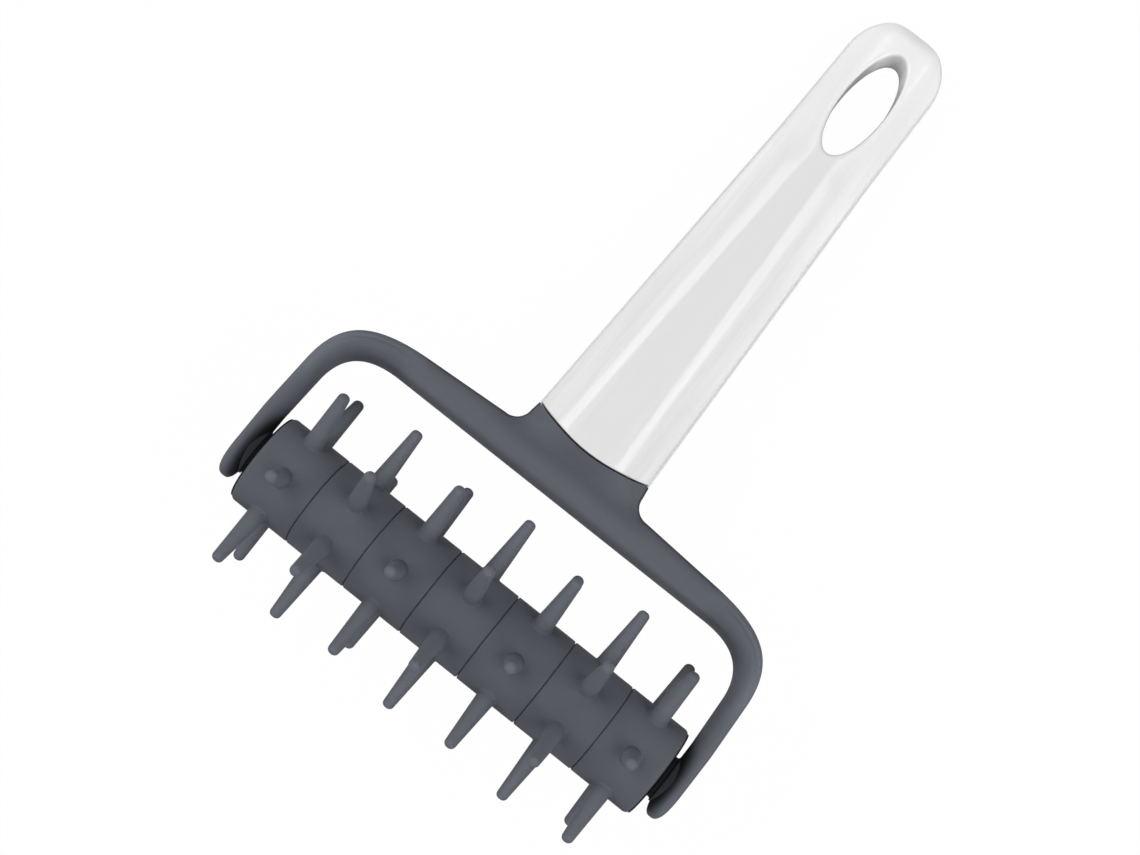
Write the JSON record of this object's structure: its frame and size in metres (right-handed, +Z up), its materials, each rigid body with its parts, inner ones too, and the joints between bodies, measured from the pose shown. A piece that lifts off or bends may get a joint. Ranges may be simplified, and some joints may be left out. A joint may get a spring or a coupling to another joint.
{
  "type": "dough docker",
  "caption": "Hand roller whose rings of blunt pins prick holes in dough; a bowed yoke carries it on a steel rod, under a faceted handle with a hanging hole.",
  "frame": {"origin": "centre of the bounding box in plan, on the table that the docker lies on, pins and handle end touching it", "axes": "+X along the roller's axle, +Y from the roller towards the end of the handle, +Z up from the table"},
  "size_m": [0.1412, 0.2188, 0.0588],
  "materials": {
    "white_plastic": "glossy white moulded plastic",
    "slate_plastic": "satin slate grey moulded plastic",
    "bearing_plastic": "satin dark grey moulded plastic",
    "steel": "drawn stainless steel"
  },
  "bodies": {
    "frame": {"yoke": "slate_plastic", "handle": "white_plastic", "axle_rod": "steel"},
    "roller": {"core_tube": "bearing_plastic", "pin_ring_1": "slate_plastic", "pin_ring_2": "slate_plastic", "pin_ring_3": "slate_plastic", "pin_ring_4": "slate_plastic", "pin_ring_5": "slate_plastic", "pin_ring_6": "slate_plastic", "pin_ring_7": "slate_plastic", "bearing_cap_left": "bearing_plastic", "bearing_cap_right": "bearing_plastic"}
  },
  "joints": [
    {"name": "roller_spin", "type": "hinge", "parent": "frame", "child": "roller", "pos_m": [0, -0.07997, 0.02939], "axis": [1, 0, 0], "continuous": true}
  ]
}
